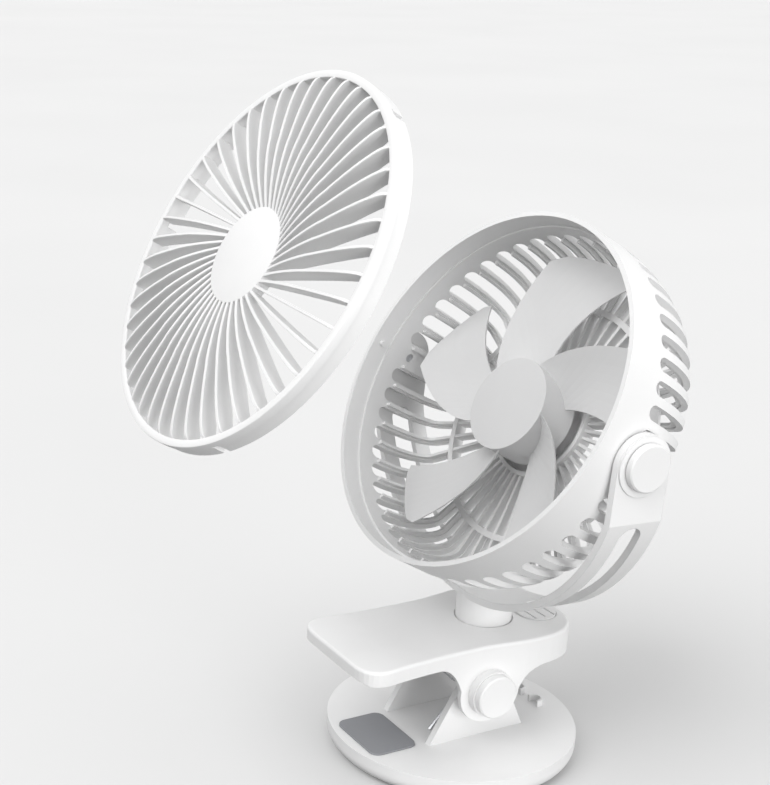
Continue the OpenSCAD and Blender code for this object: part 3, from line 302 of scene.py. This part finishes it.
def grille_ring():
    """The ring, with both outlines at each side of a notch."""
    step = 2.0 * math.pi / RING_STEPS
    stations = [(step * k, None) for k in range(RING_STEPS)]
    for angle in NOTCH_ANGLES:
        middle = math.radians(angle)
        reach = NOTCH_HALF + NOTCH_CLEAR * step
        stations = [s for s in stations if abs(s[0] - middle) > reach]
        stations += [(middle - NOTCH_HALF, "open"), (middle + NOTCH_HALF, "close")]
    stations.sort(key=lambda s: s[0])
    angles, profiles = [], []
    for angle, edge in stations:
        for notched in NOTCHED_SIDES[edge]:
            angles.append(angle)
            profiles.append(ring_outline(notched))
    return turned(profiles, angles)


def grille_disc():
    outline = [(0.0, DISC_RISE), (DISC - DISC_FLAT_INSET, DISC_RISE),
               (DISC - DISC_ROUND_INSET, DISC_RISE - DISC_ROUND_DROP),
               (DISC, DISC_RISE - DISC_EDGE_DROP), (DISC, DISC_WALL_BACK),
               (DISC - DISC_WALL, DISC_WALL_BACK), (DISC - DISC_WALL, DISC_UNDERSIDE),
               (0.0, DISC_UNDERSIDE)]
    angles = [2.0 * math.pi * k / DISC_STEPS for k in range(DISC_STEPS)]
    return turned([outline] * DISC_STEPS, angles)


def rib_front(radius):
    """Height of a rib's front: up from the disc to the crest, then round down to the ring."""
    if radius < CREST_AT:
        inward = (CREST_AT - radius) / (CREST_AT - DISC)
        return CREST - (CREST - RIB_AT_DISC) * inward ** 2
    share = min((radius - CREST_AT) / (RING_IN - CREST_AT), 1.0)
    return CREST * math.sqrt(1.0 - share * share) - RIB_SINK


def rib_back(radius):
    return RIB_BACK - RIB_BACK_FALL * (radius / RING_IN) ** RIB_BACK_POWER


def grille_rib(end_angle):
    """A thin arched plate whose line passes the axis at the swirl's distance."""
    points, faces = [], []
    bend = math.asin(SWIRL / RING_IN)
    span = RING_IN + INTO_RING - DISC + INTO_DISC
    side = RIB_T / 2
    for k in range(RIB_STEPS + 1):
        share = math.sin(0.5 * math.pi * k / RIB_STEPS)
        radius = DISC - INTO_DISC + span * share
        along = math.sqrt(radius * radius - SWIRL * SWIRL)
        front, back = rib_front(radius), rib_back(radius)
        section = ((-RIB_BACK_HALF, back), (RIB_BACK_HALF, back),
                   (side, front - RIB_ROUND_DEEP), (side - RIB_ROUND_INSET, front),
                   (RIB_ROUND_INSET - side, front), (-side, front - RIB_ROUND_DEEP))
        for away, height in section:
            offset = SWIRL + away
            angle = end_angle - bend + math.atan2(offset, along)
            points.append(fan_point(math.hypot(along, offset), angle, height))
    corners = len(section)
    for k in range(RIB_STEPS):
        faces += band(corners * k, corners * (k + 1), corners)
    faces.append(tuple(reversed(range(corners))))
    faces.append(tuple(corners * RIB_STEPS + j for j in range(corners)))
    return points, faces


def joined(name, shapes, material):
    """One smooth-shaded piece of several shapes, each given as vertices and faces."""
    points, faces = [], []
    for shape_points, shape_faces in shapes:
        faces += [tuple(len(points) + v for v in face) for face in shape_faces]
        points += shape_points
    mesh = bpy.data.meshes.new(name)
    mesh.from_pydata(points, [], faces)
    work = bmesh.new()
    work.from_mesh(mesh)
    bmesh.ops.remove_doubles(work, verts=work.verts, dist=MERGE)
    bmesh.ops.dissolve_degenerate(work, edges=work.edges, dist=MERGE)
    bmesh.ops.recalc_face_normals(work, faces=work.faces)
    work.to_mesh(mesh)
    work.free()
    mesh.materials.append(material)
    piece = placed(name, mesh)
    mesh.shade_smooth()
    mesh.set_sharp_from_angle(angle=SHARP)
    return piece


ribs = [grille_rib(RIB_TURN + 2.0 * math.pi * k / RIBS) for k in range(RIBS)]
grille = joined("grille_swirled", [grille_ring(), grille_disc()] + ribs, grille_white_painted_light)
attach(grille, "grille")
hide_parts("front_grille")


# Clip spring: a copy of the solid's own shape, from the base's leg to the stand's, fixed where
# the solid stands

spring = placed("spring_winding", NODES["torsion_spring"].data.copy())
spring.matrix_world = NODES["torsion_spring"].matrix_world
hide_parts("torsion_spring")
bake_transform(spring)


# Floor, light and camera

# Sockets of the mix node in its colour mode, where names are shared by several types
MIX_FACTOR = 0
MIX_A = 6
MIX_B = 7
MIX_RESULT = 2

FLOOR_Z = -0.0497
REACH = 12.0
PAPER_SCALE = 3.0
FLOOR_BOUNCE = 0.05
FLOOR_TONES = (0.635, 0.65)
FLOOR_ROUGHNESS = 0.9
FLOOR_SPECULAR = 0.1

# Stops of the sky's light by the height looked at, and the tone that is seen of it
GLOW = [(0.0, 0.55), (0.5, 1.0)]
BACKDROP = 0.9
SUN_SPREAD = 0.8


def shown(tree, bounced, seen):
    """One colour for light that bounces, and another for what camera, metal and glass show."""
    rays = tree.nodes.new("ShaderNodeLightPath").outputs
    direct = rays["Is Camera Ray"]
    for name in ("Is Glossy Ray", "Is Transmission Ray"):
        either = tree.nodes.new("ShaderNodeMath")
        either.operation = "MAXIMUM"
        tree.links.new(direct, either.inputs[0])
        tree.links.new(rays[name], either.inputs[1])
        direct = either.outputs[0]
    mix = tree.nodes.new("ShaderNodeMix")
    mix.data_type = "RGBA"
    tree.links.new(direct, mix.inputs[MIX_FACTOR])
    for value, socket in ((bounced, mix.inputs[MIX_A]), (seen, mix.inputs[MIX_B])):
        if isinstance(value, float):
            socket.default_value = (value, value, value, 1.0)
        else:
            tree.links.new(value, socket)
    return mix.outputs[MIX_RESULT]


floor_mesh = bpy.data.meshes.new("floor")
floor_mesh.from_pydata([(-REACH, -REACH, FLOOR_Z), (REACH, -REACH, FLOOR_Z),
                        (REACH, REACH, FLOOR_Z), (-REACH, REACH, FLOOR_Z)],
                       [], [(0, 1, 2, 3)])
floor = placed("floor", floor_mesh)
floor.visible_shadow = False
floor_material, tree, shader = new_material("floor_paper")
paper = noise(tree, object_coords(tree), PAPER_SCALE, COARSE)
floor_color = shown(tree, FLOOR_BOUNCE, spread(tree, paper, *FLOOR_TONES))
tree.links.new(floor_color, shader.inputs["Base Color"])
shader.inputs["Roughness"].default_value = FLOOR_ROUGHNESS
shader.inputs["Specular IOR Level"].default_value = FLOOR_SPECULAR
floor_mesh.materials.append(floor_material)

world = bpy.data.worlds.new("studio")
bpy.context.scene.world = world
world.use_nodes = True
sky_tree = world.node_tree
sky = sky_tree.nodes["Background"]
parts = sky_tree.nodes.new("ShaderNodeSeparateXYZ")
sky_coords = sky_tree.nodes.new("ShaderNodeTexCoord")
sky_tree.links.new(sky_coords.outputs["Generated"], parts.inputs[0])
glow = ramp(sky_tree, parts.outputs["Z"], GLOW)
sky_tree.links.new(shown(sky_tree, glow, BACKDROP), sky.inputs["Color"])
sky.inputs["Strength"].default_value = 1.0


def sun(name, toward, strength):
    """A wide sun that stands in the direction given."""
    lamp = bpy.data.lights.new(name, "SUN")
    lamp.energy = strength
    lamp.angle = SUN_SPREAD
    holder = placed(name, lamp)
    holder.rotation_mode = "QUATERNION"
    holder.rotation_quaternion = Vector(toward).to_track_quat("Z", "Y")


sun("side", toward=(-0.1, 0.99, -0.05), strength=1.9)
sun("front", toward=(0.65, 0.1, 0.75), strength=1.6)

# The photograph's camera, as fitted to it
RIGHT = Vector((-0.90238, 0.43083, 0.00966))
UP = Vector((-0.12916, -0.29179, 0.94772))
BACK = Vector((0.41113, 0.85396, 0.31896))
STANDPOINT = (0.32724, 0.49241, 0.29907)
camera = bpy.data.cameras.new("camera")
camera.sensor_width = 36.0
camera.lens = 70.95
camera.shift_x = 0.256
camera.shift_y = 0.038
camera.clip_start = 0.01
camera.clip_end = 50.0
viewer = placed("camera", camera)
turn = Matrix((RIGHT, UP, BACK)).transposed().to_4x4()
viewer.matrix_world = Matrix.Translation(STANDPOINT) @ turn
bpy.context.scene.camera = viewer

bpy.context.scene.view_settings.view_transform = "Standard"

bpy.context.view_layer.update()
